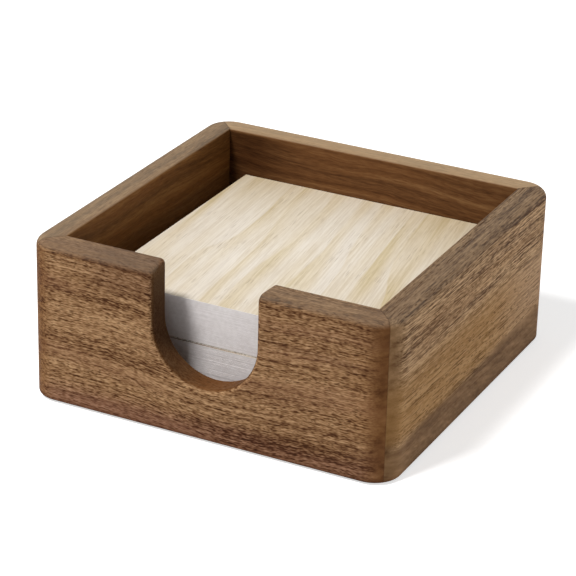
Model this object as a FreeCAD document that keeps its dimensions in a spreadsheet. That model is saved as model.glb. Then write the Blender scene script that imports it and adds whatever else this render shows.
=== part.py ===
"""A sticky note holder: a mitred walnut tray with a thumb notch, and the two pads of notes in it.

Millimetres, +Z up, front towards -Y. The origin is at the bottom centre, on the table top.
"""
import FreeCAD, Part
import math
import os

import Sketcher

SIZES = {
    # a note, and the pads that the notes come in
    "note_width": 76.0,
    "note_length": 76.0,
    "note_thickness": 0.11,
    "backing_thickness": 0.35,
    "pad_height": 11.2,
    # how much further forward the lower pad lies
    "lower_pad_shift": 0.4,
    # the room round the pads and above them, in the well
    "play_left": 5.1,
    "play_right": 0.8,
    "play_front": 5.6,
    "play_back": 0.3,
    "rim_above_notes": 11.9,
    # the walls, and the easing of their edges
    "wall_thickness": 7.3,
    "corner_radius": 7.0,
    "rim_radius": 2.2,
    "inner_rim_radius": 0.4,
    "base_radius": 0.8,
    # the thumb notch: its sill is measured from the floor of the well, and its flare from its front edge
    "notch_width": 27.2,
    "notch_sill": 6.8,
    "notch_flare": 0.5,
    "notch_radius": 1.2,
    # the floor panel, and the groove in the walls that holds it
    "panel_thickness": 4.0,
    "panel_recess": 2.7,
    "panel_clearance": 0.3,
    "groove_depth": 3.0,
    "groove_clearance": 0.1,
    # the loose tongues inside the mitres, which stop short of the rim
    "spline_thickness": 1.6,
    "spline_width": 5.0,
    "spline_set_in": 1.8,
    "spline_clearance": 0.1,
    "spline_below_rim": 8.0,
    "spline_above_groove": 3.0,
    # the felt feet under the floor panel
    "foot_diameter": 9.0,
    "foot_inset": 9.0,
    "foot_projection": 0.5,
    # how far a cut runs past the face that it opens, and how near two points count as one
    "overrun": 1.0,
    "touch": 0.001,
}

INNER_WIDTH = "(sizes.note_width + sizes.play_left + sizes.play_right)"
INNER_DEPTH = "(sizes.note_length + sizes.play_front + sizes.play_back)"
OUTER_WIDTH = f"({INNER_WIDTH} + 2 * sizes.wall_thickness)"
OUTER_DEPTH = f"({INNER_DEPTH} + 2 * sizes.wall_thickness)"

BASE = "sizes.foot_projection"
PANEL_LOW = f"({BASE} + sizes.panel_recess)"
FLOOR = f"({PANEL_LOW} + sizes.panel_thickness)"
GROOVE_TOP = f"({FLOOR} + sizes.groove_clearance)"
UPPER_PAD_LOW = f"({FLOOR} + sizes.pad_height)"
PAD_TOP = f"({UPPER_PAD_LOW} + sizes.pad_height)"
RIM = f"({PAD_TOP} + sizes.rim_above_notes)"
SILL = f"({FLOOR} + sizes.notch_sill)"
SPLINE_LOW = f"({GROOVE_TOP} + sizes.spline_above_groove)"
SPLINE_TOP = f"({RIM} - sizes.spline_below_rim)"

UP = FreeCAD.Vector(0, 0, 1)
# how a sketch counts a curve's points up from 1, and its own axes down from -1
START, END, CENTRE = range(1, 4)
X_AXIS, Y_AXIS = range(-1, -3, -1)
ORIGIN = X_AXIS
QUARTER_TURN = 90
EIGHTH_TURN = 45

doc = FreeCAD.newDocument("sticky_note_holder")
sheet = doc.addObject("Spreadsheet::Sheet", "sizes")
for row, (alias, size) in enumerate(SIZES.items(), start=1):
    sheet.set(f"A{row}", alias)
    sheet.set(f"B{row}", str(size))
    sheet.setAlias(f"B{row}", alias)
doc.recompute()


def value(formula):
    """The number that a formula of named sizes gives."""
    return float(sheet.evalExpression(formula))


def new_body(label):
    """An empty body whose label names its file."""
    body = doc.addObject("PartDesign::Body", label)
    body.Label = label
    return body


def turned(degrees):
    """A turn about the upright axis through the origin."""
    return FreeCAD.Placement(FreeCAD.Vector(), FreeCAD.Rotation(UP, degrees))


def place(item, prefix, x, y, z):
    """Bind a placement's position to three formulas."""
    for axis, formula in zip("xyz", (x, y, z)):
        item.setExpression(f"{prefix}.Base.{axis}", formula)


def sketch_on(body, name, role, x="0", y="0", lift="0", turn=0):
    """A sketch on one of the body's own planes, lifted off it, moved along it and turned in it."""
    plane = next(item for item in body.Origin.OriginFeatures if item.Role == role)
    sketch = body.newObject("Sketcher::SketchObject", f"{body.Name}_{name}")
    sketch.AttachmentSupport = [(plane, "")]
    sketch.MapMode = "FlatFace"
    sketch.AttachmentOffset = turned(turn)
    place(sketch, "AttachmentOffset", x, y, lift)
    return sketch


def rule(sketch, *rules):
    """Add geometric constraints, each a tuple of its kind and the places that it joins."""
    for kind, *places in rules:
        sketch.addConstraint(Sketcher.Constraint(kind, *places))


def dimension(sketch, kind, places, formula):
    """Add a dimension and bind it to a formula."""
    number = sketch.addConstraint(Sketcher.Constraint(kind, *places, value(formula)))
    sketch.setExpression(f"Constraints[{number}]", formula)


def four_sides(sketch, left, right, low, high):
    """Four joined lines round a rectangle, anticlockwise from its lower left corner."""
    corners = [(left, low), (right, low), (right, high), (left, high)]
    points = [FreeCAD.Vector(x, y, 0) for x, y in corners]
    lines = [Part.LineSegment(a, b) for a, b in zip(points, points[1:] + points[:1])]
    sides = sketch.addGeometry(lines, False)
    for side, after in zip(sides, sides[1:] + sides[:1]):
        rule(sketch, ("Coincident", side, END, after, START))
    return sides


def centred_rectangle(sketch, width, depth):
    """A rectangle centred on the sketch's origin."""
    half_width = value(f"{width} / 2")
    half_depth = value(f"{depth} / 2")
    front, right, back, left = four_sides(sketch, -half_width, half_width, -half_depth, half_depth)
    rule(sketch, ("Horizontal", front), ("Horizontal", back), ("Vertical", right), ("Vertical", left))
    rule(sketch, ("Symmetric", front, START, back, START, ORIGIN, START))
    dimension(sketch, "DistanceX", (front, START, front, END), width)
    dimension(sketch, "DistanceY", (right, START, right, END), depth)


def spline_section(sketch, width):
    """A spline's cross-section. The sketch's X axis runs along the mitre, out from the well's corner."""
    inside = value("sizes.spline_set_in")
    outside = value("sizes.spline_set_in + sizes.spline_thickness")
    half = value(f"{width} / 2")
    low, outer, high, inner = four_sides(sketch, inside, outside, -half, half)
    rule(sketch, ("Horizontal", low), ("Horizontal", high), ("Vertical", outer))
    rule(sketch, ("Symmetric", inner, START, inner, END, X_AXIS))
    dimension(sketch, "DistanceX", (ORIGIN, START, low, START), "sizes.spline_set_in")
    dimension(sketch, "DistanceX", (low, START, low, END), "sizes.spline_thickness")
    dimension(sketch, "DistanceY", (outer, START, outer, END), width)


def wall_outline(sketch, run, reach):
    """A wall seen from above: a mitred board with half of a rounded corner at each end."""
    radius = value("sizes.corner_radius")
    half_outer = value(f"{run} / 2 - sizes.corner_radius")
    half_inner = value(f"{run} / 2 - sizes.wall_thickness")
    outer_y = -value(reach)
    inner_y = outer_y + value("sizes.wall_thickness")
    centre_y = outer_y + radius
    lean = radius * math.cos(math.radians(EIGHTH_TURN))

    def line(x1, y1, x2, y2):
        return Part.LineSegment(FreeCAD.Vector(x1, y1, 0), FreeCAD.Vector(x2, y2, 0))

    def arc(x, start, end):
        circle = Part.Circle(FreeCAD.Vector(x, centre_y, 0), UP, radius)
        return Part.ArcOfCircle(circle, math.radians(start), math.radians(end))

    straight_down = 3 * QUARTER_TURN
    shapes = [
        line(-half_outer, outer_y, half_outer, outer_y),
        arc(half_outer, straight_down, straight_down + EIGHTH_TURN),
        line(half_outer + lean, centre_y - lean, half_inner, inner_y),
        line(half_inner, inner_y, -half_inner, inner_y),
        line(-half_inner, inner_y, -half_outer - lean, centre_y - lean),
        arc(-half_outer, straight_down - EIGHTH_TURN, straight_down),
    ]
    outer, right_arc, right_mitre, inner, left_mitre, left_arc = sketch.addGeometry(shapes, False)
    rule(
        sketch,
        ("Tangent", outer, END, right_arc, START),
        ("Coincident", right_arc, END, right_mitre, START),
        ("Coincident", right_mitre, END, inner, START),
        ("Coincident", inner, END, left_mitre, START),
        ("Coincident", left_mitre, END, left_arc, START),
        ("Tangent", left_arc, END, outer, START),
        ("Symmetric", outer, START, outer, END, Y_AXIS),
        ("Symmetric", inner, START, inner, END, Y_AXIS),
        ("Symmetric", right_arc, END, left_arc, START, Y_AXIS),
        ("PointOnObject", right_arc, CENTRE, right_mitre),
        ("Angle", right_mitre, math.radians(QUARTER_TURN + EIGHTH_TURN)),
    )
    dimension(sketch, "Radius", (right_arc,), "sizes.corner_radius")
    dimension(sketch, "DistanceY", (outer, START, ORIGIN, START), reach)
    dimension(sketch, "DistanceY", (outer, START, inner, END), "sizes.wall_thickness")
    dimension(sketch, "DistanceX", (outer, START, outer, END), f"{run} - 2 * sizes.corner_radius")


def notch_outline(sketch):
    """The thumb notch seen from the front: straight sides on a half-round sill."""
    radius = value("sizes.notch_width / 2")
    centre = value(f"{SILL} + sizes.notch_width / 2")
    top = value(f"{RIM} + sizes.overrun")
    circle = Part.Circle(FreeCAD.Vector(0, centre, 0), UP, radius)
    corners = [(radius, centre), (radius, top), (-radius, top), (-radius, centre)]
    points = [FreeCAD.Vector(x, y, 0) for x, y in corners]
    shapes = [Part.ArcOfCircle(circle, math.pi, math.tau)]
    shapes += [Part.LineSegment(a, b) for a, b in zip(points, points[1:])]
    sill, right, lid, left = sketch.addGeometry(shapes, False)
    rule(
        sketch,
        ("Tangent", sill, END, right, START),
        ("Coincident", right, END, lid, START),
        ("Coincident", lid, END, left, START),
        ("Tangent", left, END, sill, START),
        ("Vertical", right),
        ("Vertical", left),
        ("Horizontal", lid),
        ("PointOnObject", sill, CENTRE, Y_AXIS),
    )
    dimension(sketch, "Radius", (sill,), "sizes.notch_width / 2")
    dimension(sketch, "DistanceY", (ORIGIN, START, sill, CENTRE), f"{SILL} + sizes.notch_width / 2")
    dimension(sketch, "DistanceY", (ORIGIN, START, lid, START), f"{RIM} + sizes.overrun")


def pad(body, sketch, length):
    """Raise a sketch into the body's first solid."""
    feature = body.newObject("PartDesign::Pad", f"{sketch.Name}_pad")
    feature.Profile = sketch
    feature.setExpression("Length", length)
    doc.recompute()


def pocket(body, sketch, depth, widening="0"):
    """Cut a sketch into the body, against the sketch's normal, and see that it does cut.

    The widening is the angle at which the cut opens out as it goes deeper.
    """
    before = body.Tip.Shape.Volume
    feature = body.newObject("PartDesign::Pocket", f"{sketch.Name}_pocket")
    feature.Profile = sketch
    feature.setExpression("Length", depth)
    feature.setExpression("TaperAngle", widening)
    doc.recompute()
    if not feature.Shape.Volume < before:
        raise ValueError(f"{feature.Label} cuts nothing")


def ease(body, name, belongs, radius):
    """Round the edges that pass a test on the edge and on points along it."""
    base = body.Tip
    points_per_edge = 5
    names = []
    for number, edge in enumerate(base.Shape.Edges, start=1):
        if belongs(edge, edge.discretize(Number=points_per_edge)):
            names.append(f"Edge{number}")
    feature = body.newObject("PartDesign::Fillet", f"{body.Name}_{name}")
    feature.Base = (base, names)
    feature.setExpression("Radius", radius)
    doc.recompute()


def near(numbers, target):
    """Whether all the numbers are at a target, to within the sheet's touch."""
    return all(abs(number - target) < SIZES["touch"] for number in numbers)


def wall(label, run, reach, turn, notched=False):
    """A mitred wall, drawn as the front one and then turned to its own side of the tray."""
    body = new_body(label)
    body.Placement = turned(turn)
    outline = sketch_on(body, "outline", "XY_Plane", lift=BASE)
    wall_outline(outline, run, reach)
    pad(body, outline, f"{RIM} - {BASE}")

    groove = sketch_on(body, "groove", "XY_Plane", lift=GROOVE_TOP)
    groove_run = f"({run} - 2 * sizes.wall_thickness + 2 * sizes.groove_depth)"
    groove_reach = f"({reach} - sizes.wall_thickness + sizes.groove_depth)"
    centred_rectangle(groove, groove_run, f"(2 * {groove_reach})")
    pocket(body, groove, "sizes.panel_thickness + sizes.groove_clearance")

    corner_x = f"({run} / 2 - sizes.wall_thickness)"
    corner_y = f"(sizes.wall_thickness - {reach})"
    right_end = ("right_slot", corner_x, -EIGHTH_TURN)
    left_end = ("left_slot", f"-{corner_x}", EIGHTH_TURN - 2 * QUARTER_TURN)
    for name, x, slot_turn in (right_end, left_end):
        slot = sketch_on(body, name, "XY_Plane", x, corner_y, SPLINE_TOP, slot_turn)
        spline_section(slot, "(sizes.spline_width + 2 * sizes.spline_clearance)")
        pocket(body, slot, f"{SPLINE_TOP} - {SPLINE_LOW}")

    rim, base, sill = value(RIM), value(BASE), value(SILL)
    outer_y, inner_y = -value(reach), value(corner_y)

    def is_rounded(edge):
        return isinstance(edge.Curve, Part.Circle)

    def above_sill(points):
        return min(p.z for p in points) > sill - SIZES["touch"]

    def is_outer_rim(edge, points):
        outside = is_rounded(edge) or near([p.y for p in points], outer_y)
        return outside and near([p.z for p in points], rim)

    def is_notch_front(edge, points):
        inside = max(abs(p.x) for p in points) < value("sizes.notch_width")
        return inside and above_sill(points) and near([p.y for p in points], outer_y)

    def is_inner_rim(edge, points):
        return above_sill(points) and near([p.y for p in points], inner_y)

    def is_base(edge, points):
        outside = is_rounded(edge) or near([p.y for p in points], outer_y)
        return outside and near([p.z for p in points], base)

    ease(body, "eased_rim", is_outer_rim, "sizes.rim_radius")
    if notched:
        notch = sketch_on(body, "notch", "XZ_Plane", lift=f"{reach} + sizes.overrun")
        notch_outline(notch)
        through = "sizes.wall_thickness + 2 * sizes.overrun"
        pocket(body, notch, through, "atan(sizes.notch_flare / sizes.wall_thickness)")
        ease(body, "eased_notch", is_notch_front, "sizes.notch_radius")
    ease(body, "eased_inner_rim", is_inner_rim, "sizes.inner_rim_radius")
    ease(body, "eased_base", is_base, "sizes.base_radius")
    return body


def bottom_panel():
    """The floor of the well, held loosely in the groove round the walls."""
    body = new_body("bottom_panel")
    outline = sketch_on(body, "outline", "XY_Plane", lift=PANEL_LOW)
    in_groove = "2 * (sizes.groove_depth - sizes.panel_clearance)"
    centred_rectangle(outline, f"({INNER_WIDTH} + {in_groove})", f"({INNER_DEPTH} + {in_groove})")
    pad(body, outline, "sizes.panel_thickness")
    return body


def spline(label, side, end, turn):
    """A loose tongue across one mitre, held in a slot in each of the two walls."""
    body = new_body(label)
    section = sketch_on(body, "section", "XY_Plane")
    spline_section(section, "sizes.spline_width")
    pad(body, section, f"{SPLINE_TOP} - {SPLINE_LOW}")
    body.Placement = turned(turn)
    place(body, "Placement", f"{side} * {INNER_WIDTH} / 2", f"{end} * {INNER_DEPTH} / 2", SPLINE_LOW)
    return body


def foot(label, side, end):
    """A felt disc stuck under the floor panel, reaching just below the walls."""
    body = new_body(label)
    outline = sketch_on(body, "outline", "XY_Plane")
    radius = value("sizes.foot_diameter / 2")
    circle = outline.addGeometry(Part.Circle(FreeCAD.Vector(), UP, radius), False)
    rule(outline, ("Coincident", circle, CENTRE, ORIGIN, START))
    dimension(outline, "Diameter", (circle,), "sizes.foot_diameter")
    pad(body, outline, PANEL_LOW)
    x = f"{side} * ({INNER_WIDTH} / 2 - sizes.foot_inset)"
    y = f"{end} * ({INNER_DEPTH} / 2 - sizes.foot_inset)"
    place(body, "Placement", x, y, "0")
    return body


def sheet_stack(label, shift, low, height):
    """A block of notes, or one note or card: a slab of the note's size at a height in the well."""
    slab = doc.addObject("Part::Box", label)
    slab.Label = label
    slab.setExpression("Length", "sizes.note_width")
    slab.setExpression("Width", "sizes.note_length")
    slab.setExpression("Height", height)
    place(slab, "Placement", f"sizes.play_left - {INNER_WIDTH} / 2",
          f"sizes.play_front - {INNER_DEPTH} / 2 - {shift}", low)
    return slab


def pad_of_notes(names, shift, low):
    """A pad from the bottom up: its backing card, its block of notes and the printed note on top."""
    card, block, cover = names
    block_low = f"({low} + sizes.backing_thickness)"
    cover_low = f"({low} + sizes.pad_height - sizes.note_thickness)"
    return [
        sheet_stack(card, shift, low, "sizes.backing_thickness"),
        sheet_stack(block, shift, block_low, f"{cover_low} - {block_low}"),
        sheet_stack(cover, shift, cover_low, "sizes.note_thickness"),
    ]


pieces = [
    wall("front_wall", OUTER_WIDTH, f"({OUTER_DEPTH} / 2)", 0, notched=True),
    wall("right_wall", OUTER_DEPTH, f"({OUTER_WIDTH} / 2)", QUARTER_TURN),
    wall("back_wall", OUTER_WIDTH, f"({OUTER_DEPTH} / 2)", 2 * QUARTER_TURN),
    wall("left_wall", OUTER_DEPTH, f"({OUTER_WIDTH} / 2)", 3 * QUARTER_TURN),
    bottom_panel(),
]
for end_name, end in (("front", -1), ("back", 1)):
    for side_name, side in (("left", -1), ("right", 1)):
        outward = math.degrees(math.atan2(end, side))
        pieces.append(spline(f"{end_name}_{side_name}_spline", side, end, outward))
        pieces.append(foot(f"{end_name}_{side_name}_foot", side, end))
pieces += pad_of_notes(
    ("lower_backing_card", "lower_note_block", "lower_cover_note"), "sizes.lower_pad_shift", FLOOR)
pieces += pad_of_notes(("upper_backing_card", "upper_note_block", "top_note"), "0", UPPER_PAD_LOW)

doc.recompute()
for item in doc.Objects:
    if "Invalid" in item.State or "Error" in item.State:
        raise ValueError(f"{item.Label} failed: {item.State}")
for piece in pieces:
    if piece.Shape.isNull() or not piece.Shape.isValid():
        raise ValueError(f"{piece.Label} has no valid shape")

os.makedirs("parts", exist_ok=True)
for piece in pieces:
    piece.Shape.exportStep(os.path.join("parts", f"{piece.Label}.step"))
    print(f"{piece.Label}: {len(piece.Shape.Solids)} solid, {piece.Shape.Volume:.1f} mm3")
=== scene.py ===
# %% [markdown]
# A walnut tray for sticky notes, dressed for a picture
#
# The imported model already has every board, pad and joint in its place. This lesson keeps those places and
# gives each piece the surface that the real thing has: oiled walnut with open pores, cut paper edges, and
# the pale wood-grain print of the cover notes. All lengths are in metres, and MM turns millimetres into
# them.

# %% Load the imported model
import math
import bmesh
import bpy
from mathutils import Matrix, Vector


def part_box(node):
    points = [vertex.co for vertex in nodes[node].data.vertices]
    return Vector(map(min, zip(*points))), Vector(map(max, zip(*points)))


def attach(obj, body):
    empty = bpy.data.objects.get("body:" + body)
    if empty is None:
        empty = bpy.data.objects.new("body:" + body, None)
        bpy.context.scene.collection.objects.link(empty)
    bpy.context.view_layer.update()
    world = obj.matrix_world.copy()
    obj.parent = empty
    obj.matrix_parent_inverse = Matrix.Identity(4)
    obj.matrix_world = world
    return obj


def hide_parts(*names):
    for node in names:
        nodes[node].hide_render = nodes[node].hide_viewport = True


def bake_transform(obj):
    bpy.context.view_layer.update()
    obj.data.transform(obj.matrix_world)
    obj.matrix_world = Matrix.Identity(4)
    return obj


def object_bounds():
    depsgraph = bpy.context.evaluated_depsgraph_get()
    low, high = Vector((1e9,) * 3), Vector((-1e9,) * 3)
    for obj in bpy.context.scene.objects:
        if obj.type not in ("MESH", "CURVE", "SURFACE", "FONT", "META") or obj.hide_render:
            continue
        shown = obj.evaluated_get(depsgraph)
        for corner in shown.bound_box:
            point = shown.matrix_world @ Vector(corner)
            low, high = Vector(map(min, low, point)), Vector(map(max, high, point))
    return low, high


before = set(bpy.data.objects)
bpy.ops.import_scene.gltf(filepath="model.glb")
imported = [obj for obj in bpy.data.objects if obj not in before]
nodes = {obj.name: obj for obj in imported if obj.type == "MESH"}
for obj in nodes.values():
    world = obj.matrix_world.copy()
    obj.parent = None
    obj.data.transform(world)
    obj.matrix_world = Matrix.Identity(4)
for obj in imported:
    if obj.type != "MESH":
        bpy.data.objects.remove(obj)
cad_low, cad_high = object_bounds()
MM = 0.001
print("loaded", len(nodes), "pieces, box in mm", [round(side / MM, 2) for side in cad_high - cad_low])

# %% [markdown]
# The camera
#
# A product picture of a small box is taken from a good half metre with a long lens, so that its edges stay
# nearly parallel. The place could be found by eye, but a camera that is solved from the box's own corners
# needs no trial: its direction is given here as a turn round the box, a height and a small roll.

# %% Place the camera
CAMERA_TURN = math.radians(26.369)
CAMERA_RISE = math.radians(24.639)
CAMERA_ROLL = math.radians(1.489)
CAMERA_DISTANCE = 617.5 * MM
CAMERA_AIM = Vector((-1.873, -0.987, 20.8)) * MM
LENS = 155.62
SENSOR_WIDTH = 36.0


def direction(turn, rise):
    """The unit vector that points from the box to something at this turn from the front and this height."""
    across = math.cos(rise)
    return Vector((math.sin(turn) * across, -math.cos(turn) * across, math.sin(rise)))


def new_object(name, data):
    made = bpy.data.objects.new(name, data)
    bpy.context.scene.collection.objects.link(made)
    return made


camera = new_object("camera", bpy.data.cameras.new("camera"))
camera.data.lens = LENS
camera.data.sensor_width = SENSOR_WIDTH
towards_camera = direction(CAMERA_TURN, CAMERA_RISE)
level = towards_camera.to_track_quat("Z", "Y").to_matrix().to_4x4()
roll = Matrix.Rotation(CAMERA_ROLL, 4, "Z")
camera.matrix_world = Matrix.Translation(CAMERA_AIM + towards_camera * CAMERA_DISTANCE) @ level @ roll
bpy.context.scene.camera = camera
bpy.context.scene.view_settings.view_transform = "Standard"
print("camera at mm", [round(c / MM, 1) for c in camera.matrix_world.translation])

# %% [markdown]
# The studio
#
# One soft box hangs in front, high and a little to the left: it draws the shadow inside the thumb notch,
# soft at its edge. A long, low white card to the right and behind opens up the right-hand wall, and a pale
# room fills the rest. The lamps stay at a level where a white sheet facing them is just white.

# %% Hang the lamps
KEY_TURN = math.radians(-24.5)
KEY_RISE = math.radians(57)
KEY_DISTANCE = 1.1
KEY_SIZE = 0.24
KEY_LEVEL = 1.04
CARD_TURN = math.radians(122)
CARD_RISE = math.radians(3)
CARD_DISTANCE = 0.6
CARD_WIDTH = 0.5
CARD_HEIGHT = 0.05
CARD_LEVEL = 0.5


def lamp(name, turn, rise, distance, width, height, level_facing):
    """A soft box aimed at the tray. level_facing is how bright it makes a white sheet that faces it."""
    light = bpy.data.lights.new(name, "AREA")
    light.shape = "RECTANGLE"
    light.size = width
    light.size_y = height
    light.energy = level_facing * math.pi * math.pi * distance * distance
    made = new_object(name, light)
    towards = direction(turn, rise)
    place = Matrix.Translation(CAMERA_AIM + towards * distance)
    made.matrix_world = place @ towards.to_track_quat("Z", "Y").to_matrix().to_4x4()
    return made


lamp("soft_box", KEY_TURN, KEY_RISE, KEY_DISTANCE, KEY_SIZE, KEY_SIZE, KEY_LEVEL)
lamp("white_card", CARD_TURN, CARD_RISE, CARD_DISTANCE, CARD_WIDTH, CARD_HEIGHT, CARD_LEVEL)

# %% [markdown]
# Shader maths as plain expressions
#
# A wood shader is mostly arithmetic on noise, and wiring it by hand hides the idea. Here one small class
# wraps a socket, so that `1 - pores * depth` adds the Math nodes it needs. Every other node comes from its
# one method `node`, which sets the node's own settings first and then its sockets.

# %% Wrap a socket
# The places of a Mix node's two colours among its inputs, and of the mixed colour among its outputs.
MIX_BELOW = 6
MIX_ABOVE = 7
MIX_RESULT = 2


class Wire:
    """One socket of a shader tree, with arithmetic. node() adds any other node to the same tree."""

    def __init__(self, socket):
        self.socket = socket

    def node(self, kind, settings=None, inputs=None, output=0):
        tree = self.socket.id_data
        made = tree.nodes.new("ShaderNode" + kind)
        for name, value in (settings or {}).items():
            if name == "stops":
                set_stops(made.color_ramp, value)
            else:
                setattr(made, name, value)
        for key, value in (inputs or {}).items():
            if isinstance(value, Wire):
                tree.links.new(value.socket, made.inputs[key])
            else:
                made.inputs[key].default_value = value
        return Wire(made.outputs[output])

    def math(self, operation, *terms):
        return self.node("Math", {"operation": operation}, dict(enumerate(terms)))

    def __add__(self, other):
        return self.math("ADD", self, other)

    def __sub__(self, other):
        return self.math("SUBTRACT", self, other)

    def __mul__(self, other):
        return self.math("MULTIPLY", self, other)

    def __truediv__(self, other):
        return self.math("DIVIDE", self, other)

    def __rsub__(self, other):
        return self.math("SUBTRACT", other, self)

    __radd__ = __add__
    __rmul__ = __mul__

    def __abs__(self):
        return self.math("ABSOLUTE", self)

    def rise(self, low, high):
        """0 below low and 1 above high, with a smooth step between. It falls if low is above high."""
        sockets = {"Value": self, "From Min": low, "From Max": high}
        return self.node("MapRange", {"interpolation_type": "SMOOTHSTEP"}, sockets)

    def tint(self, below, above, blend="MIX"):
        """The colour below where this value is 0 and above where it is 1."""
        settings = {"data_type": "RGBA", "blend_type": blend}
        return self.node("Mix", settings, {0: self, MIX_BELOW: below, MIX_ABOVE: above}, MIX_RESULT)

    def ramp(self, *stops):
        """The colour at this value along a row of stops, each of them a position and a colour."""
        return self.node("ValToRGB", {"stops": stops}, {0: self})


def set_stops(ramp, stops):
    while len(ramp.elements) < len(stops):
        ramp.elements.new(1.0)
    for element, (position, colour) in zip(ramp.elements, stops):
        element.position = position
        element.color = colour


def ink(red, green, blue):
    """A colour as a paint chart gives it, 0 to 255, turned into the linear values that shaders use."""
    channels = [c / 255 for c in (red, green, blue)]
    linear = [c / 12.92 if c <= 0.04045 else ((c + 0.055) / 1.055) ** 2.4 for c in channels]
    return (*linear, 1.0)


def new_finish(name, coordinates="Object", **constants):
    """A material, its Principled shader and the wire of its coordinates."""
    material = bpy.data.materials.new(name)
    material.use_nodes = True
    tree = material.node_tree
    shader = tree.nodes["Principled BSDF"]
    for socket, value in constants.items():
        shader.inputs[socket.replace("_", " ")].default_value = value
    start = Wire(tree.nodes.new("ShaderNodeTexCoord").outputs[coordinates])
    return material, shader, start


def feed(shader, **wires):
    for socket, wire in wires.items():
        wire.socket.id_data.links.new(wire.socket, shader.inputs[socket.replace("_", " ")])


def relief(shader, height, strength, depth):
    """Raise the surface by this depth where height is 1."""
    sockets = {"Strength": strength, "Distance": depth, "Height": height}
    feed(shader, Normal=height.node("Bump", inputs=sockets))


print("a mid brown in linear values:", [round(c, 3) for c in ink(130, 96, 68)])

# %% [markdown]
# The floor and the room
#
# The picture stands on plain white. More light on the tray would do that and wash it out. Instead the floor is
# a pale sheet that is lifted to white by a little light of its own, which only the camera and reflections
# see, so it keeps the tray's shadow. The room shows white to the same two. For light that falls on the tray
# it is dimmer, so that the inside of the tray can stay dark.

# %% Lay the floor and paint the room
ROOM_LEVEL = 0.18
FLOOR_HALF = 3.0
FLOOR_GREY = 0.8
FLOOR_LIFT = 0.64


def background_rays(wire):
    """1 where the camera, a reflection or a clear surface looks straight at the background."""
    path = wire.socket.node
    seen = Wire(path.outputs["Is Camera Ray"])
    mirrored = Wire(path.outputs["Is Glossy Ray"])
    through = Wire(path.outputs["Is Transmission Ray"])
    return seen.math("MAXIMUM", seen, seen.math("MAXIMUM", mirrored, through))


room = bpy.data.worlds.new("pale_room")
room.use_nodes = True
bpy.context.scene.world = room
room_light = room.node_tree.nodes["Background"]
looks = background_rays(Wire(room.node_tree.nodes.new("ShaderNodeLightPath").outputs[0]))
room_level = looks * (1 - ROOM_LEVEL) + ROOM_LEVEL
room_light.inputs["Color"].default_value = (1.0, 1.0, 1.0, 1.0)
room.node_tree.links.new(room_level.socket, room_light.inputs["Strength"])

floor_mesh = bpy.data.meshes.new("floor")
floor_corners = [(-1, -1), (1, -1), (1, 1), (-1, 1)]
floor_points = [(x * FLOOR_HALF, y * FLOOR_HALF, cad_low.z) for x, y in floor_corners]
floor_mesh.from_pydata(floor_points, [], [(0, 1, 2, 3)])
floor = new_object("floor", floor_mesh)
floor_finish, floor_shader, floor_at = new_finish("white_sheet", Roughness=0.9, Specular_IOR_Level=0.0)
floor_shader.inputs["Base Color"].default_value = (FLOOR_GREY, FLOOR_GREY, FLOOR_GREY, 1.0)
floor_shader.inputs["Emission Strength"].default_value = 1.0
looks = background_rays(floor_at.node("LightPath"))
lift = looks.tint((0.0, 0.0, 0.0, 1.0), (FLOOR_LIFT, FLOOR_LIFT, FLOOR_LIFT, 1.0))
feed(floor_shader, Emission_Color=lift)
floor_mesh.materials.append(floor_finish)
print("floor at z", round(cad_low.z / MM, 3), "mm")

# %% [markdown]
# Walnut, as a solid
#
# Walnut is a brown heartwood with wavy growth bands, and its pores are long tubes: where a saw opens them
# they show as short dark dashes along the grain. A flat picture of grain could be wrapped round each board,
# but it would smear over the rounded corners. A solid pattern, worked out from the place of each point in
# the board, shows long dashes on the faces and short specks on the ends by itself.

# %% Find a point's place in its board
def parts_of(vector):
    """The three parts of a vector, each as a wire."""
    apart = vector.node("SeparateXYZ", inputs={0: vector}).socket.node
    return [Wire(socket) for socket in apart.outputs]


def millimetres(at):
    """The three coordinates of a point, each as a wire in millimetres."""
    return [part / MM for part in parts_of(at)]


def board_place(at, along_axis):
    """(along, up, through): along the grain, up the face and through the thickness."""
    x, y, z = millimetres(at)
    return (x, z, y) if along_axis == "X" else (y, z, x)


def stretched(place, along, across):
    """The place in units of these lengths, as one vector for a texture."""
    lengths = (along, across, across)
    scaled = {i: part / length for i, (part, length) in enumerate(zip(place, lengths))}
    return place[0].node("CombineXYZ", inputs=scaled)


def noise(place, along, across, detail=0.0):
    """Noise round 0 in patches about this long along the grain and this wide across it."""
    sockets = {"Vector": stretched(place, along, across), "Scale": 1.0, "Detail": detail}
    return place[0].node("TexNoise", inputs=sockets) - 0.5


def dashes(place, along, across, share, fatness):
    """Separate dashes along the grain, up to 1 inside and 0 outside. This share of the cells holds one."""
    sockets = {"Vector": stretched(place, along, across), "Scale": 1.0}
    distance = place[0].node("TexVoronoi", inputs=sockets)
    chance = parts_of(Wire(distance.socket.node.outputs["Color"]))[0]
    picked = chance.rise(1 - share, 1.5 - share)
    return distance.rise(fatness, fatness * 0.5) * picked


print("patterns ready: noise in patches, and separate dashes")

# %% [markdown]
# How the grain wanders
#
# Growth bands are never straight. Slow waves bend them over a few centimetres and quick ones ruffle them
# over a few millimetres. On the front board the bands also dip below the notch, as they do beside a small
# knot. Each band could be drawn bent, but it is simpler to bend the place that the pattern is read from: then
# bands, lines and pores all bend alike.

# %% Bend the grain
SLOW_BEND = 4.0
QUICK_BEND = 0.5


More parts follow.
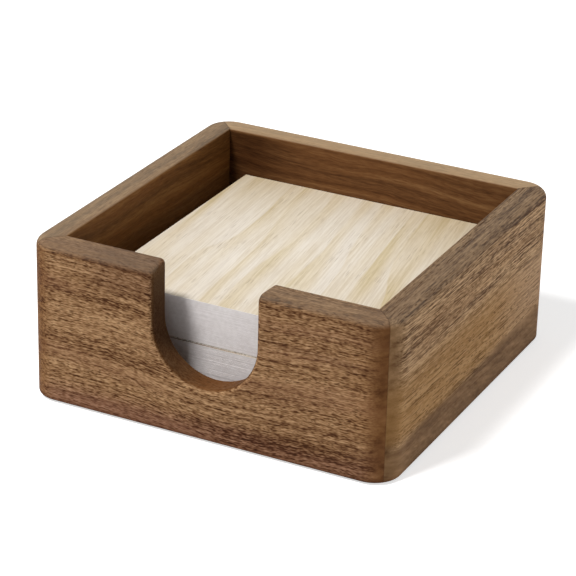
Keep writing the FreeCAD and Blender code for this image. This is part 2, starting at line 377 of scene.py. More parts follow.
def wandering(place, shift, slope, swing, dip=0.0):
    """The place in the board before its bands were bent: pattern drawn there comes out wavy.

    shift picks another run of the pattern, swing scales the waves and dip is how deep the bands dip."""
    along, up, through = place
    dipping = along.rise(-28, 6) * (1 - 0.5 * along.rise(6, 42))
    up = up + along * slope + dipping * dip
    moved = (along + shift, up, through)
    slow = noise(moved, 34, 10) * (SLOW_BEND * swing)
    quick = noise(moved, 6, 2.2) * (QUICK_BEND * swing)
    return along + shift, up + slow + quick, through


print("at a swing of 1 the grain bends by up to", (SLOW_BEND + QUICK_BEND) / 2, "mm")

# %% [markdown]
# One finish for each board
#
# The four walls are cut from different boards, so each has its own run of the pattern, its own slope of the
# grain and its own tones. Four separate finishes could be written out, but one function with a board's own
# values says what they share. The oil leaves a satin surface: pores stay a little rougher and sunken, and
# end grain drinks more oil and darkens. Round a corner the fibres are cut aslant, so the dashes shrink away
# there and the growth bands show as smooth stripes.

# %% Mix the walnut finish
HALF_SIDE = (cad_high.x - cad_low.x) / 2 / MM
WALL = 7.3
CORNER_RADIUS = 7.0
RIM = cad_high.z / MM
INNER_FACE = HALF_SIDE - WALL
# How long and how wide each pattern is, in millimetres.
WIDE_BANDS = (200, 6)
NARROW_BANDS = (110, 1.7)
LONG_LINES = (36, 0.55)
BLUSHES = (60, 6)
PORE_SHARE = 0.85
PORE_FATNESS = 0.4
PORE_DEPTH = 0.1 * MM
SATIN = 0.55
PORE_BROWN = ink(64, 37, 18)
WHITE = ink(255, 255, 255)
END_SHADE = ink(216, 199, 178)
# Painted shade for the rounded top edge of the walls.
EDGE_PAINTED_SHADE = ink(224, 217, 209)
FOOT_SHADE = ink(206, 192, 182)
SEAM_BROWN = ink(58, 38, 26)


def rim_of(up, through):
    """1 on a board's top face, and a little way down its rounded outer edge."""
    outside = abs(through).rise(INNER_FACE + 1, HALF_SIDE - 1)
    return (up + outside * 0.5).rise(RIM - 0.3 - outside * 1.2, RIM + 0.1)


def inner_face(sideways):
    """1 on a wall's inner face, and 0 in the wood behind it."""
    return sideways.rise(INNER_FACE + 0.6, INNER_FACE + 0.2)


def walnut(name, along_axis, shift, slope, tones, low_band, swing=0.4, dip=0.0, broad=1.0, fine=1.0,
           ruled=0.8, length=1.0, reach_of_pores=5.0, end_shade=END_SHADE, edge_painted_shade=EDGE_PAINTED_SHADE,
           well_painted_shade=WHITE, smooth_ends=(0.9, 0.9), rim_grain=1.0, mitred=True, zones=None):
    """Oiled walnut for one board. tones are its dark, middle and light browns, its blush, and its rim: partly
    the rim's own lighter wood and partly painted sheen, as a reflection of the room on the top face.

    low_band is the height, the slope, the softness and the colour of the darker wood along the lower edge,
    and how far that wood is without pores. broad, fine and ruled are the strengths of the wide bands, of the
    fine grain and of its long lines. length draws the fibres and pores out, and reach_of_pores is the length
    of the longest pores. end_shade darkens the rounded corners. The next two are painted shade: on the
    rounded top edge, which the soft box would light more than the faces beside it, and on the inner face of
    the well. smooth_ends is how far the fine grain fades at each end, and rim_grain is how much of it the rim
    keeps. A board with no mitred ends has mitred=False. zones paints further wood over the bands, and on
    some boards painted shade and painted light as well."""
    dark, middle, light, red, rim_wood_and_sheen = tones
    band_height, band_slope, band_softness, band_colour, band_calm = low_band
    material, shader, at = new_finish(name, Specular_IOR_Level=0.03)
    board = board_place(at, along_axis)
    along, up, through = board
    reach = abs(along)
    rim = rim_of(up, through)
    end = reach.rise(HALF_SIDE - CORNER_RADIUS - 1, HALF_SIDE - 2.5) * (1 - rim)
    place = wandering(board, shift, slope, swing, dip)

    bands = noise(place, *WIDE_BANDS) * 0.5 + noise(place, *NARROW_BANDS, 1.0) * 0.8
    sideways = abs(through)
    inside = inner_face(sideways) * mitred
    border = up - along * band_slope + noise(place, 40, 6) * 4
    low = border.rise(band_height + band_softness, band_height - band_softness)
    lines = noise(place, *LONG_LINES, 1.0) * ruled
    fibres = noise(place, 5 * length, 0.36, 1.0) * 1.2 + noise(place, 2 * length, 0.26) * 1.1
    near_end, far_end = smooth_ends
    smooth = near_end + along.rise(-10, 10) * (far_end - near_end)
    crisp = (1 - end * smooth) * (1 - inside * 0.7) * (1 - low * band_calm)
    crisp = crisp * (1 - rim * (1 - rim_grain)) * fine
    tone = 0.5 + bands * (1 + end * 0.3) * broad + (lines + fibres) * crisp
    darkest = [*(part * 0.6 for part in dark[:3]), 1.0]
    lightest = [part + (part - mean) * 0.45 for part, mean in zip(light, middle)]
    base = tone.ramp((0.0, darkest), (0.15, dark), (0.5, middle), (0.85, light), (1.0, lightest))
    base = (noise(place, *BLUSHES).rise(0.02, 0.2) * 0.3).tint(base, red)
    if zones:
        base = zones(base, at, along, up, place)
    base = (low * (1 - end * 0.6)).tint(base, band_colour, "MULTIPLY")
    # Each wall is darker in its lowest two and a half millimetres, round its bottom edge.
    base = (up.rise(2.6, 0.7) * mitred).tint(base, FOOT_SHADE, "MULTIPLY")
    # Painted shade: the inner face of the well is darkened, as the walls round it shade it.
    base = inside.tint(base, well_painted_shade, "MULTIPLY")
    base = end.tint(base, end_shade, "MULTIPLY")
    # Painted shade on the rounded top edge, which the soft box lights more than the faces beside it.
    painted_edge_shade_mask = (sideways + up).rise(HALF_SIDE + RIM - 2.4, HALF_SIDE + RIM - 1.4)
    base = painted_edge_shade_mask.tint(base, edge_painted_shade, "MULTIPLY")
    # Partly the rim's own lighter wood and partly painted sheen: the top face is blended towards a greyer
    # brown.
    base = (rim * 0.5).tint(base, rim_wood_and_sheen)

    crowd = 0.5 + 0.5 * noise(place, 120, 3.0).rise(-0.12, 0.12)
    long_pores = dashes(place, reach_of_pores * length, 0.44, PORE_SHARE, PORE_FATNESS)
    short_pores = dashes(place, 2.2 * length, 0.38, PORE_SHARE, PORE_FATNESS)
    pores = long_pores.math("MAXIMUM", long_pores, short_pores * 0.9) * crowd * crisp
    base = (pores * (0.8 - rim * 0.25)).tint(base, PORE_BROWN)
    seam = abs(reach - sideways).rise(0.3, 0.08) * mitred
    base = (seam * (0.22 + rim * 0.23)).tint(base, SEAM_BROWN)

    feed(shader, Base_Color=base, Roughness=SATIN + pores * 0.2 - fibres * 0.1)
    relief(shader, 1 - pores * 0.8 + fibres * 0.3, 0.3, PORE_DEPTH)
    return material


print("walnut with pores of brown", [round(c, 3) for c in PORE_BROWN])

# %% [markdown]
# Wood of its own on each board
#
# No two boards look alike. The thumb notch cuts the front board nearly across its fibres, so the sawn face
# is darker end grain, and painted shade darkens it further, most of all deep down on its upright sides. A
# dark streak leaves the notch to the right, and the lower right is duller. The right-hand board has a wide
# amber stripe along its middle and mottled wood along its foot. Inside the well, painted shade darkens the
# back board towards its ends, and painted bounce light makes the left one amber lower down. Each board paints
# its zones over the common pattern, because noise alone would not put them in these places.

# %% Cut the boards' finishes
NOTCH_RADIUS = 13.6
NOTCH_CENTRE = 27.6
NOTCH_FLARE = 0.5 / WALL
# The notch's colours are end grain with painted shade: deep sides, lighter tops of the sides, and the sill.
NOTCH_SIDE_END_GRAIN_AND_SHADE = ink(70, 43, 21)
NOTCH_TOP_END_GRAIN_AND_LIGHT = ink(94, 66, 38)
NOTCH_SILL_END_GRAIN_AND_SHADE = ink(100, 62, 31)
STREAK_SHADE = ink(196, 186, 190)
WARM_END = ink(228, 212, 190)
AMBER = ink(149, 111, 64)
FAR_AMBER = ink(164, 133, 102)
STRIPE_SHADE = ink(226, 222, 216)
MOTTLE_SHADE = ink(212, 208, 203)
# Painted shade for the ends of the back board's inner face.
WELL_CORNER_PAINTED_SHADE = ink(176, 166, 156)
# Painted bounce light for the lower part of the left board.
WELL_PAINTED_BOUNCE_LIGHT = ink(166, 116, 64)


def notch_face(base, x, y, z):
    """End grain on the sawn face of the thumb notch, darker than the board, with painted shade over it.
    The upright sides are painted darkest deep down and lighter towards the top, where more light comes in.
    """
    below = z.math("MAXIMUM", NOTCH_CENTRE - z, 0.0)
    squares = x * x + below * below
    away = squares.math("SQRT", squares)
    edge = away - (NOTCH_RADIUS + (y + HALF_SIDE) * NOTCH_FLARE)
    upright = (abs(x - 2) / away).rise(0.1, 0.8)
    sawn = edge.rise(0.6, 0.15) * z.rise(RIM - 0.1, RIM - 1.2)
    sides = z.rise(28, RIM - 2).tint(NOTCH_SIDE_END_GRAIN_AND_SHADE, NOTCH_TOP_END_GRAIN_AND_LIGHT)
    return (sawn * 0.85).tint(base, upright.tint(NOTCH_SILL_END_GRAIN_AND_SHADE, sides))


def front_zones(base, at, along, up, place):
    """A dark streak to the right of the notch, duller wood low on the right and along the top, a warm end."""
    streak = up + along * 0.107 + noise(place, 30, 4) * 3 - 33
    streak = abs(streak).rise(1.8, 0.2) * along.rise(6, 16)
    dusk = along.rise(-20, 35) * along.rise(47, 39) * up.rise(16, 8) * (0.5 + 0.5 * up.rise(2, 7))
    shoulder = along.rise(-36, -24) * along.rise(-4, -14)
    shade = streak.math("MAXIMUM", streak * 0.35, dusk * 0.25)
    right_end = along.rise(34, 42)
    shade = shade.math("MAXIMUM", shade, up.rise(30, 37) * (0.08 + shoulder * 0.62 + right_end * 0.3))
    base = (right_end * up.rise(8, 14) * 0.35).tint(base, WARM_END, "MULTIPLY")
    return notch_face(shade.tint(base, STREAK_SHADE, "MULTIPLY"), *millimetres(at))


def right_zones(base, at, along, up, place):
    """A wide amber stripe along the middle of the board, slanting stripes low down and a mottled foot."""
    height = up + noise(place, 50, 8) * 5
    amber = height.rise(30, 22) * height.rise(8, 12)
    base = (amber * 0.6).tint(base, along.rise(5, 40).tint(AMBER, FAR_AMBER))
    slant = (along, up + along * 0.3, up * 0)
    stripes = noise(slant, 70, 1.6, 1.0).rise(-0.2, 0.25) * up.rise(14, 9)
    base = stripes.tint(base, STRIPE_SHADE, "MULTIPLY")
    spots = noise(slant, 2.4, 1.1, 2.0).rise(-0.13, 0.13) * 0.55
    clouds = noise(slant, 11, 3.5).rise(-0.15, 0.15) * 0.45
    foot = up.rise(11, 8.5) * along.rise(-44, -36)
    patch = along.rise(-38, -32) * along.rise(-14, -24) * 0.3
    return ((spots + clouds + patch) * foot).tint(base, MOTTLE_SHADE, "MULTIPLY")


def back_zones(base, at, along, up, place):
    """Painted shade at the ends of the board's inner face, where the side walls shade it, most of all the left
    one.
    """
    ends = (along.rise(-16, -36) + along.rise(4, 34) * 0.35) * up.rise(RIM, RIM - 1)
    return (ends * inner_face(place[2])).tint(base, WELL_CORNER_PAINTED_SHADE, "MULTIPLY")


def left_zones(base, at, along, up, place):
    """Painted bounce light: a lighter, amber colour in the lower part of the board, as light thrown up by the
    notes.
    """
    return (up.rise(38, 31) * 0.35).tint(base, WELL_PAINTED_BOUNCE_LIGHT)


def dress(node, finish):
    """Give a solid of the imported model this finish."""
    nodes[node].material_slots[0].material = finish


# The last tone of each board is its rim: partly its own lighter wood, partly painted sheen.
FRONT_TONES = (ink(84, 53, 32), ink(136, 102, 70), ink(167, 132, 96), ink(126, 89, 66), ink(123, 106, 88))
RIGHT_TONES = (ink(88, 60, 37), ink(139, 110, 79), ink(167, 136, 101), ink(138, 103, 67), ink(100, 88, 77))
BACK_TONES = (ink(83, 56, 36), ink(134, 100, 68), ink(170, 137, 98), ink(135, 97, 62), ink(203, 177, 142))
LEFT_TONES = (ink(83, 56, 36), ink(134, 100, 68), ink(170, 137, 98), ink(135, 93, 59), ink(142, 128, 108))
front_band = (5.5, 0, 2.2, ink(234, 225, 240), 0.0)
right_band = (9.4, 0.03, 0.7, ink(236, 230, 228), 0.85)
far_band = (5, 0, 2, ink(214, 210, 220), 0.0)
front_finish = walnut(
    "walnut_front", "X", 0.0, 0.0, FRONT_TONES, front_band, 0.4, 2.8, broad=0.75, fine=0.93, ruled=1.1,
    length=0.5, smooth_ends=(0.4, 0.9), zones=front_zones)
right_finish = walnut(
    "walnut_right", "Y", 410.0, 0.02, RIGHT_TONES, right_band, 0.3, broad=1.0, fine=1.1, ruled=1.6,
    reach_of_pores=13.0, end_shade=ink(240, 235, 231), edge_painted_shade=ink(240, 236, 232), zones=right_zones)
back_finish = walnut(
    "walnut_back", "X", 830.0, 0.04, BACK_TONES, far_band, 1.0, broad=1.05, well_painted_shade=ink(206, 190, 176),
    rim_grain=0.45, zones=back_zones)
left_finish = walnut(
    "walnut_left", "Y", 1270.0, 0.03, LEFT_TONES, far_band, 1.0, broad=1.05, well_painted_shade=ink(217, 199, 166),
    rim_grain=0.45, zones=left_zones)
walls = {"front": front_finish, "right": right_finish, "back": back_finish, "left": left_finish}
for side, finish in walls.items():
    dress(side + "_wall", finish)
print("walnut on", sorted(walls))

# %% [markdown]
# The floor panel and the hidden tongues
#
# The floor is a thin walnut board in a groove, and shows when the pads are lifted out. The tongues inside
# the mitres are a plain pale wood that nobody oils. Both keep their own solids, so they only need a finish.

# %% Finish the floor panel and the tongues
CORNERS = ("front_left", "front_right", "back_left", "back_right")


def pale_wood(name):
    """Plain wood with its grain upright."""
    material, shader, at = new_finish(name)
    x, y, z = millimetres(at)
    grain = 0.5 + noise((z, x, y), 12, 0.7, 2.0)
    base = grain.ramp((0.3, ink(150, 112, 74)), (0.7, ink(190, 154, 112)))
    feed(shader, Base_Color=base, Roughness=0.8 - grain * 0.2)
    relief(shader, grain, 0.3, PORE_DEPTH)
    return material


PANEL_TONES = (ink(74, 46, 28), ink(112, 78, 50), ink(146, 108, 72), ink(112, 72, 46), ink(112, 78, 50))
no_band = (-100, 0, 1, WHITE, 0.0)
floor_board = walnut("walnut_floor", "X", 1900.0, 0.02, PANEL_TONES, no_band, mitred=False)
dress("bottom_panel", floor_board)
tongue_finish = pale_wood("pale_tongue_wood")
for corner in CORNERS:
    dress(corner + "_spline", tongue_finish)
print("floor panel and", len(CORNERS), "tongues finished")

# %% [markdown]
# The pads: a stack of sheets
#
# A pad is nearly a hundred sheets of thin paper, glued along one edge and cut square in lifts, so its sides
# show fine lines and now and then a small step. One solid block with stripes painted on would look flat at
# the notch. Geometry Nodes stack real sheets instead: a line of points, one sheet on each, and a seeded nudge
# for each sheet and for each lift.

# %% Build the stack's node tree
def add_node(tree, kind, settings=None, inputs=None):
    """A node of a Geometry Nodes tree, with its settings set first and then its sockets."""
    made = tree.nodes.new(kind)
    for name, value in (settings or {}).items():
        setattr(made, name, value)
    for key, value in (inputs or {}).items():
        if isinstance(value, bpy.types.NodeSocket):
            tree.links.new(value, made.inputs[key])
        else:
            made.inputs[key].default_value = value
    return made


def stack_tree(finish):
    """A tree with named inputs that stacks sheets upwards from a first place."""
    tree = bpy.data.node_groups.new("stack_of_sheets", "GeometryNodeTree")
    kinds = {"Sheets": "Int", "First": "Vector", "Sheet": "Vector", "Pitch": "Float", "Lift": "Int"}
    kinds.update({"Sheet nudge": "Float", "Lift nudge": "Float", "Seed": "Int"})
    for name, kind in kinds.items():
        tree.interface.new_socket(name, in_out="INPUT", socket_type="NodeSocket" + kind)
    tree.interface.new_socket("Pad", in_out="OUTPUT", socket_type="NodeSocketGeometry")
    given = tree.nodes.new("NodeGroupInput").outputs

    step = add_node(tree, "ShaderNodeCombineXYZ", inputs={"Z": given["Pitch"]})
    line_inputs = {"Count": given["Sheets"], "Start Location": given["First"], "Offset": step.outputs[0]}
    line = add_node(tree, "GeometryNodeMeshLine", inputs=line_inputs)
    index = add_node(tree, "GeometryNodeInputIndex").outputs[0]
    ratio = add_node(tree, "ShaderNodeMath", {"operation": "DIVIDE"}, {0: index, 1: given["Lift"]})
    lift = add_node(tree, "ShaderNodeMath", {"operation": "FLOOR"}, {0: ratio.outputs[0]})

    nudges = []
    for reach, which in ((given["Sheet nudge"], index), (given["Lift nudge"], lift.outputs[0])):
        across = add_node(tree, "ShaderNodeCombineXYZ", inputs={"X": reach, "Y": reach})
        turned = {0: across.outputs[0], "Scale": -1.0}
        back = add_node(tree, "ShaderNodeVectorMath", {"operation": "SCALE"}, turned)
        span = {"Min": back.outputs[0], "Max": across.outputs[0], "ID": which, "Seed": given["Seed"]}
        drawn = add_node(tree, "FunctionNodeRandomValue", {"data_type": "FLOAT_VECTOR"}, span)
        nudges.append(drawn.outputs[0])
    both = add_node(tree, "ShaderNodeVectorMath", {"operation": "ADD"}, {0: nudges[0], 1: nudges[1]})
    nudged = {"Geometry": line.outputs[0], "Offset": both.outputs[0]}
    moved = add_node(tree, "GeometryNodeSetPosition", inputs=nudged)

    sheet = add_node(tree, "GeometryNodeMeshCube", inputs={"Size": given["Sheet"]})
    on_points = {"Points": moved.outputs[0], "Instance": sheet.outputs[0]}
    placed = add_node(tree, "GeometryNodeInstanceOnPoints", inputs=on_points)
    real = add_node(tree, "GeometryNodeRealizeInstances", inputs={"Geometry": placed.outputs[0]})
    painted = {"Geometry": real.outputs[0], "Material": finish}
    dressed = add_node(tree, "GeometryNodeSetMaterial", inputs=painted)
    tree.links.new(dressed.outputs[0], tree.nodes.new("NodeGroupOutput").inputs[0])
    return tree


def grown(name, tree, **values):
    """The tree's result as a plain mesh object. Words in values' names are parted by underscores."""
    maker = new_object(name + "_maker", bpy.data.meshes.new(name + "_maker"))
    modifier = maker.modifiers.new("grow", "NODES")
    modifier.node_group = tree
    sockets = {item.name: item.identifier for item in tree.interface.items_tree if item.in_out == "INPUT"}
    for key, value in values.items():
        modifier[sockets[key.replace("_", " ")]] = value
    shape = maker.evaluated_get(bpy.context.evaluated_depsgraph_get())
    mesh = bpy.data.meshes.new_from_object(shape)
    maker.modifiers.remove(modifier)
    bpy.data.objects.remove(maker)
    mesh.name = name
    return new_object(name, mesh)


print("stack tree ready")

# %% [markdown]
# Paper edges
#
# The side of a pad is cut paper: white, matt, and ruled by the sheets' own edges. Lines could be painted
# on, but the stack already gives them, so the finish only adds the faint grey that a guillotine leaves,
# drawn out along the sheets.

# %% Stack the pads
SHEET_THICKNESS = 0.11 * MM
SHEETS_IN_LIFT = 34
SHEET_NUDGE = 0.025 * MM
LIFT_NUDGE = 0.05 * MM


def cut_paper(name):
    material, shader, at = new_finish(name, Specular_IOR_Level=0.2)
    x, y, z = millimetres(at)
    side = (z, x, y)
    cuts = noise(side, 0.16, 18, 1.0) * 0.5
    clouds = noise(side, 2.5, 6, 1.0) * 0.28
    shade = 0.5 + cuts + clouds + noise(side, 0.9, 0.9) * 0.4
    base = shade.ramp((0.3, ink(214, 208, 206)), (0.7, ink(228, 223, 222)))
    feed(shader, Base_Color=base, Roughness=0.95 - shade * 0.1)
    relief(shader, shade, 0.2, 0.05 * MM)
    return material


paper_tree = stack_tree(cut_paper("cut_paper"))
for pad, seed in (("lower", 4), ("upper", 9)):
    low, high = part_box(pad + "_note_block")
    sheets = round((high.z - low.z) / SHEET_THICKNESS)
    pitch = (high.z - low.z) / sheets
    middle = (low + high) / 2
    stack = grown(
        pad + "_pad_sheets", paper_tree,
        Sheets=sheets, First=(middle.x, middle.y, low.z + pitch / 2), Pitch=pitch,
        Sheet=(high.x - low.x, high.y - low.y, pitch), Lift=SHEETS_IN_LIFT,
        Sheet_nudge=SHEET_NUDGE, Lift_nudge=LIFT_NUDGE, Seed=seed,
    )
    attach(stack, pad + "_pad")
    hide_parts(pad + "_note_block")
    print(stack.name, sheets, "sheets,", len(stack.data.polygons), "faces")

# %% [markdown]
# The backing cards
#
# A grey card under each pad keeps it flat. It is plain pulp board: flecked and a little uneven in tone. Its
# solid already has the right shape, so it stays, and noise at the scale of the pulp gives the flecks.

# %% Finish the backing cards
def pulp_card(name):
    material, shader, at = new_finish(name, Specular_IOR_Level=0.2)
    flecks = at.node("TexNoise", inputs={"Vector": at, "Scale": 2400.0, "Detail": 3.0})
    base = flecks.ramp((0.36, ink(150, 142, 132)), (0.5, ink(188, 181, 170)), (0.62, ink(204, 198, 188)))
    feed(shader, Base_Color=base, Roughness=0.95 - flecks * 0.2)
    relief(shader, flecks, 0.4, 0.08 * MM)
    return material


card_finish = pulp_card("pulp_card")
for pad in ("lower", "upper"):
    dress(pad + "_backing_card", card_finish)
print("cards finished")

# %% [markdown]
# The cover notes' print
#
# Each pad's top note is printed with pale ash grain. In ash every year starts with a band of coarse,
# yellowish pores and fades out into clean white wood, so the print is a row of saw teeth: a quick step up
# to yellow, then a slow fall to cream, with fine grain over all and small pore marks in places. Painted
# shade deepens the tone towards the edges, where the walls shade the note, and a painted shadow of the gap
# between the pads darkens the front edge of the lower note. The print could be drawn in the room's own
# coordinates, but it reads the note's UV map, because the note bends when it is peeled and the print has to
# bend with it.

# %% Draw the print
NOTE_SIDE = 76.0
YEAR_WIDTH = 8.5
PAPER_DEPTH = 0.03 * MM
FINE_GREY = ink(240, 238, 237)
# Painted shade for the note's edges, where the walls round it shade it.
PRINT_EDGE_PAINTED_SHADE = ink(222, 213, 194)
MARK_BROWN = ink(150, 131, 108)
# Painted shadow of the gap between the pads, on the lower note's front edge.
GAP_PAINTED_SHADOW = ink(124, 102, 92)


def printed_ash(name, shift, gap_painted_shadow=0.0):
    """The printed side. shift picks another run of the grain, and the last argument is how dark a painted
    shadow makes the front edge, where the gap between the pads shades it.
    """
    material, shader, at = new_finish(name, "UV", Specular_IOR_Level=0.2)
    u, v = (part * NOTE_SIDE for part in parts_of(at)[:2])
    grain = (v + shift, u + v * (0.06 + u * 0.0016), u * 0)
    along, across, flat = grain
    rings = across + noise(grain, 60, 12) * 14 + noise(grain, 12, 3) * 1.0
    turns = (rings + noise((along * 0.1, rings, flat), 9, 12) * 8) / YEAR_WIDTH
    tooth = turns.math("FRACT", turns)
    early = tooth.rise(0.0, 0.1) * tooth.rise(0.85, 0.12)
    strength = 0.5 + noise((along, turns.math("FLOOR", turns), flat), 40, 0.6) * 2.4
    fine = noise(grain, 16, 0.6, 1.0) * 1.7 + noise(grain, 3.2, 0.34, 1.0) * 0.7
    line = tooth.rise(0.0, 0.05) * tooth.rise(0.2, 0.05) * strength
    yellow = 0.16 + early * strength * 0.64 + line * 0.1 + fine * 0.36 + noise(grain, 90, 4.5) * 1.4
    base = yellow.ramp((0.0, ink(235, 226, 212)), (0.5, ink(228, 215, 192)), (1.0, ink(216, 200, 165)))
    base = fine.rise(-0.5, 0.6).tint(base, FINE_GREY, "MULTIPLY")
    # Painted shade towards the edges of the note, where the walls round it shade it.
    edges = v.rise(42, 84) * 0.68 + v.rise(34, 0) * 0.2 + u.rise(42, 84) * 0.6 + u.rise(26, -8) * 0.4
    base = edges.tint(base, PRINT_EDGE_PAINTED_SHADE, "MULTIPLY")
    crowd = (noise(grain, 14, 4) + early * 0.1).rise(0.02, 0.18)
    marks = dashes(grain, 5.5, 0.3, 0.8, 0.42) * crowd
    base = (marks * 0.4).tint(base, MARK_BROWN)
    # Painted shadow: a brown strip along the front edge stands for the shadow in the gap between the pads.
    gap_shadow_strip = v.rise(0.9, 0.5) * (0.95 - 0.45 * u.rise(27, 42)) * gap_painted_shadow
    base = gap_shadow_strip.tint(base, GAP_PAINTED_SHADOW)
    fibre = at.node("TexNoise", inputs={"Vector": at, "Scale": 240.0, "Detail": 3.0})
    feed(shader, Base_Color=base, Roughness=0.7 + fibre * 0.2)
    relief(shader, fibre, 0.2, PAPER_DEPTH)
    return material


def plain_back(name):
    """The unprinted side: white paper, with the faint sheen of the adhesive strip along the back edge."""
    material, shader, at = new_finish(name, "UV", Specular_IOR_Level=0.3)
    strip = parts_of(at)[1].rise(0.8, 0.82)
    fibre = at.node("TexNoise", inputs={"Vector": at, "Scale": 90.0, "Detail": 4.0})
    white = fibre.ramp((0.3, ink(224, 220, 214)), (0.7, ink(238, 235, 230)))
    feed(shader, Base_Color=(strip * 0.35).tint(white, ink(206, 206, 198)), Roughness=0.85 - strip * 0.35)
    relief(shader, fibre, 0.2, PAPER_DEPTH)
    return material


print("print and plain back ready")

# %% [markdown]
# The notes themselves
#
# A note is a grid of small faces with the thickness of paper: one flat slab could only swing like a lid.
# The real top note is held by the pad along its back edge and lifts from the front, so it gets many rows of
# faces from back to front; the second note gets only a few.

# %% Make the two cover notes
FLAT_FACES = 12
BENDING_FACES = 76


def cover_note(name, node, across, along, finishes_of_sides):
    """A note with so many faces across and along it, and a finish each for its printed and its plain side."""
    low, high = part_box(node)
    shape = bmesh.new()
    shape.loops.layers.uv.new("print")
    size = Matrix.Diagonal((high.x - low.x, high.y - low.y, 1.0, 1.0))
    middle = Matrix.Translation(((low.x + high.x) / 2, (low.y + high.y) / 2, low.z))
    bmesh.ops.create_grid(
        shape, x_segments=across, y_segments=along, size=0.5, matrix=middle @ size, calc_uvs=True)
    raised = bmesh.ops.extrude_face_region(shape, geom=list(shape.faces))["geom"]
    lifted = [part for part in raised if isinstance(part, bmesh.types.BMVert)]
    bmesh.ops.translate(shape, verts=lifted, vec=(0, 0, high.z - low.z))
    bmesh.ops.recalc_face_normals(shape, faces=list(shape.faces))
    for face in shape.faces:
        face.material_index = 0 if face.normal.z > 0.5 else 1
    mesh = bpy.data.meshes.new(name)
    shape.to_mesh(mesh)
    shape.free()
    for finish in finishes_of_sides:
        mesh.materials.append(finish)
    note = new_object(name, mesh)
    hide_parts(node)
    return note


note_back = plain_back("plain_note_back")
top_print = printed_ash("ash_print_top", 0.0)
top_note = cover_note("top_cover_note", "top_note", FLAT_FACES, BENDING_FACES, (top_print, note_back))
low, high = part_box("top_note")
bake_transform(top_note)
second_print = printed_ash("ash_print_second", 300.0, gap_painted_shadow=1.0)
second_sides = (second_print, note_back)
second_note = cover_note("second_cover_note", "lower_cover_note", FLAT_FACES, FLAT_FACES, second_sides)
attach(second_note, "lower_pad")
print("notes", len(top_note.data.polygons), len(second_note.data.polygons), "faces")

# %% [markdown]
# The felt feet
#
# Four discs of pressed felt lift the tray half a millimetre off the table. Felt has no crisp edge: its
# fibres stand off a little everywhere, which the plain solids can't show. A node tree makes one soft-edged
# disc, sets it on four points and roughens its surface with seeded noise.

# %% Make the felt feet
FOOT_NODES = [corner + "_foot" for corner in CORNERS]
FELT_SOFTNESS = 0.9
FELT_FUZZ = 0.08 * MM
FELT_SEED = 3.0


def felt(name):
    material, shader, at = new_finish(name, Specular_IOR_Level=0.1)
    fuzz = at.node("TexNoise", inputs={"Vector": at, "Scale": 3000.0, "Detail": 4.0, "Roughness": 0.7})
    base = fuzz.ramp((0.35, ink(46, 38, 32)), (0.65, ink(92, 80, 70)))
    feed(shader, Base_Color=base, Roughness=1 - fuzz * 0.15)
    relief(shader, fuzz, 0.8, 0.2 * MM)
    return material


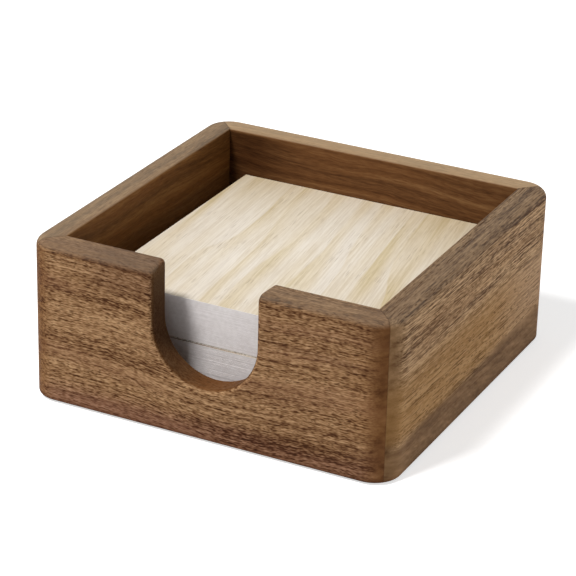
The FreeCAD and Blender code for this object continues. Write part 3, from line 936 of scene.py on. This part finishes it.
def disc_tree(finish):
    """A tree that sets a soft-edged disc on each of four points. Its edge is drawn in by Softness."""
    tree = bpy.data.node_groups.new("felt_discs", "GeometryNodeTree")
    for name in ("Span", "Radius", "Height", "Softness", "Fuzz", "Seed"):
        tree.interface.new_socket(name, in_out="INPUT", socket_type="NodeSocketFloat")
    tree.interface.new_socket("Discs", in_out="OUTPUT", socket_type="NodeSocketGeometry")
    given = tree.nodes.new("NodeGroupInput").outputs

    def reckon(operation, *terms):
        return add_node(tree, "ShaderNodeMath", {"operation": operation}, dict(enumerate(terms))).outputs[0]

    def vector(operation, terms):
        return add_node(tree, "ShaderNodeVectorMath", {"operation": operation}, terms).outputs[0]

    square = {"Size X": given["Span"], "Size Y": given["Span"], "Vertices X": 2, "Vertices Y": 2}
    points = add_node(tree, "GeometryNodeMeshGrid", inputs=square).outputs["Mesh"]
    drum = {"Vertices": 48, "Side Segments": 8, "Fill Segments": 6}
    drum.update({"Radius": given["Radius"], "Depth": given["Height"]})
    disc = add_node(tree, "GeometryNodeMeshCylinder", inputs=drum).outputs["Mesh"]
    place = add_node(tree, "GeometryNodeInputPosition").outputs[0]
    z = add_node(tree, "ShaderNodeSeparateXYZ", inputs={0: place}).outputs["Z"]
    steep = reckon("POWER", reckon("ABSOLUTE", reckon("DIVIDE", z, given["Height"])), 4.0)
    drawn_in = reckon("SUBTRACT", 1.0, reckon("MULTIPLY", steep, given["Softness"]))
    narrower = {"X": drawn_in, "Y": drawn_in, "Z": 1.0}
    across = add_node(tree, "ShaderNodeCombineXYZ", inputs=narrower).outputs[0]
    softer = vector("MULTIPLY", {0: place, 1: across})
    disc = add_node(tree, "GeometryNodeSetPosition", inputs={"Geometry": disc, "Position": softer}).outputs[0]
    on_points = {"Points": points, "Instance": disc}
    placed = add_node(tree, "GeometryNodeInstanceOnPoints", inputs=on_points).outputs[0]
    real = add_node(tree, "GeometryNodeRealizeInstances", inputs={"Geometry": placed}).outputs[0]
    settings = {"Vector": place, "W": given["Seed"], "Scale": 1800.0, "Detail": 2.0}
    rough = add_node(tree, "ShaderNodeTexNoise", {"noise_dimensions": "4D"}, settings).outputs[0]
    inwards = reckon("MULTIPLY", rough, reckon("MULTIPLY", given["Fuzz"], -1.0))
    facing = add_node(tree, "GeometryNodeInputNormal").outputs[0]
    push = vector("SCALE", {0: facing, "Scale": inwards})
    fuzzy = add_node(tree, "GeometryNodeSetPosition", inputs={"Geometry": real, "Offset": push}).outputs[0]
    smooth = add_node(tree, "GeometryNodeSetShadeSmooth", inputs={"Geometry": fuzzy}).outputs[0]
    dressed = add_node(tree, "GeometryNodeSetMaterial", inputs={"Geometry": smooth, "Material": finish})
    tree.links.new(dressed.outputs[0], tree.nodes.new("NodeGroupOutput").inputs[0])
    return tree


low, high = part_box("front_left_foot")
far_low, far_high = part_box("back_right_foot")
feet = grown(
    "felt_feet", disc_tree(felt("pressed_felt")), Span=far_low.x - low.x, Radius=(high.x - low.x) / 2,
    Height=high.z - low.z, Softness=FELT_SOFTNESS, Fuzz=FELT_FUZZ, Seed=FELT_SEED,
)
feet_middle = ((low.x + far_high.x) / 2, (low.y + far_high.y) / 2, (low.z + high.z) / 2)
feet.data.transform(Matrix.Translation(feet_middle))
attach(feet, "tray")
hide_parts(*FOOT_NODES)
print(feet.name, len(feet.data.polygons), "faces")
